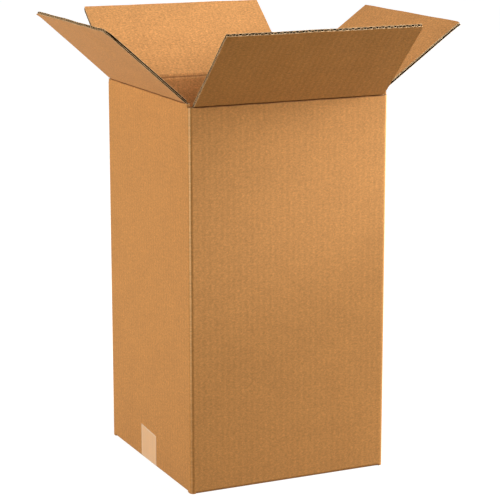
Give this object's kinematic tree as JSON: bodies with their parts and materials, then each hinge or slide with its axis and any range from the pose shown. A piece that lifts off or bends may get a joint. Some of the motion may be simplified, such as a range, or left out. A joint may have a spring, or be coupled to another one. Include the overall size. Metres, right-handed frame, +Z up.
{
  "type": "open cardboard box",
  "caption": "Tall square corrugated shipping carton, standing open with its top flaps spread outwards and its bottom flaps taped shut.",
  "frame": {"origin": "centre of the base, on the plane that the carton stands on", "axes": "+Z up through the open top; the front wall faces -Y, the left wall faces -X"},
  "size_m": [0.4631, 0.4559, 0.5627],
  "materials": {
    "kraft_board": "uncoated brown kraft liner, matt, with faint fibres and a faint washboard along the flutes",
    "packing_tape": "thin tan film, slightly see-through, with faint lengthwise streaks"
  },
  "bodies": {
    "carton": {"carton_body": "kraft_board", "tape": "packing_tape"},
    "front": {"front_flap": "kraft_board"},
    "back": {"back_flap": "kraft_board"},
    "left": {"left_flap": "kraft_board"},
    "right": {"right_flap": "kraft_board"}
  },
  "joints": [
    {"name": "front_fold", "type": "hinge", "parent": "carton", "child": "front", "pos_m": [0, -0.13095, 0.46885], "axis": [1, 0, 0], "range_deg": [-136, 129]},
    {"name": "back_fold", "type": "hinge", "parent": "carton", "child": "back", "pos_m": [0, 0.13095, 0.46885], "axis": [-1, 0, 0], "range_deg": [-141, 124]},
    {"name": "left_fold", "type": "hinge", "parent": "carton", "child": "left", "pos_m": [-0.13095, 0, 0.47295], "axis": [0, -1, 0], "range_deg": [-138, 127]},
    {"name": "right_fold", "type": "hinge", "parent": "carton", "child": "right", "pos_m": [0.13095, 0, 0.47295], "axis": [0, 1, 0], "range_deg": [-144, 121]}
  ]
}
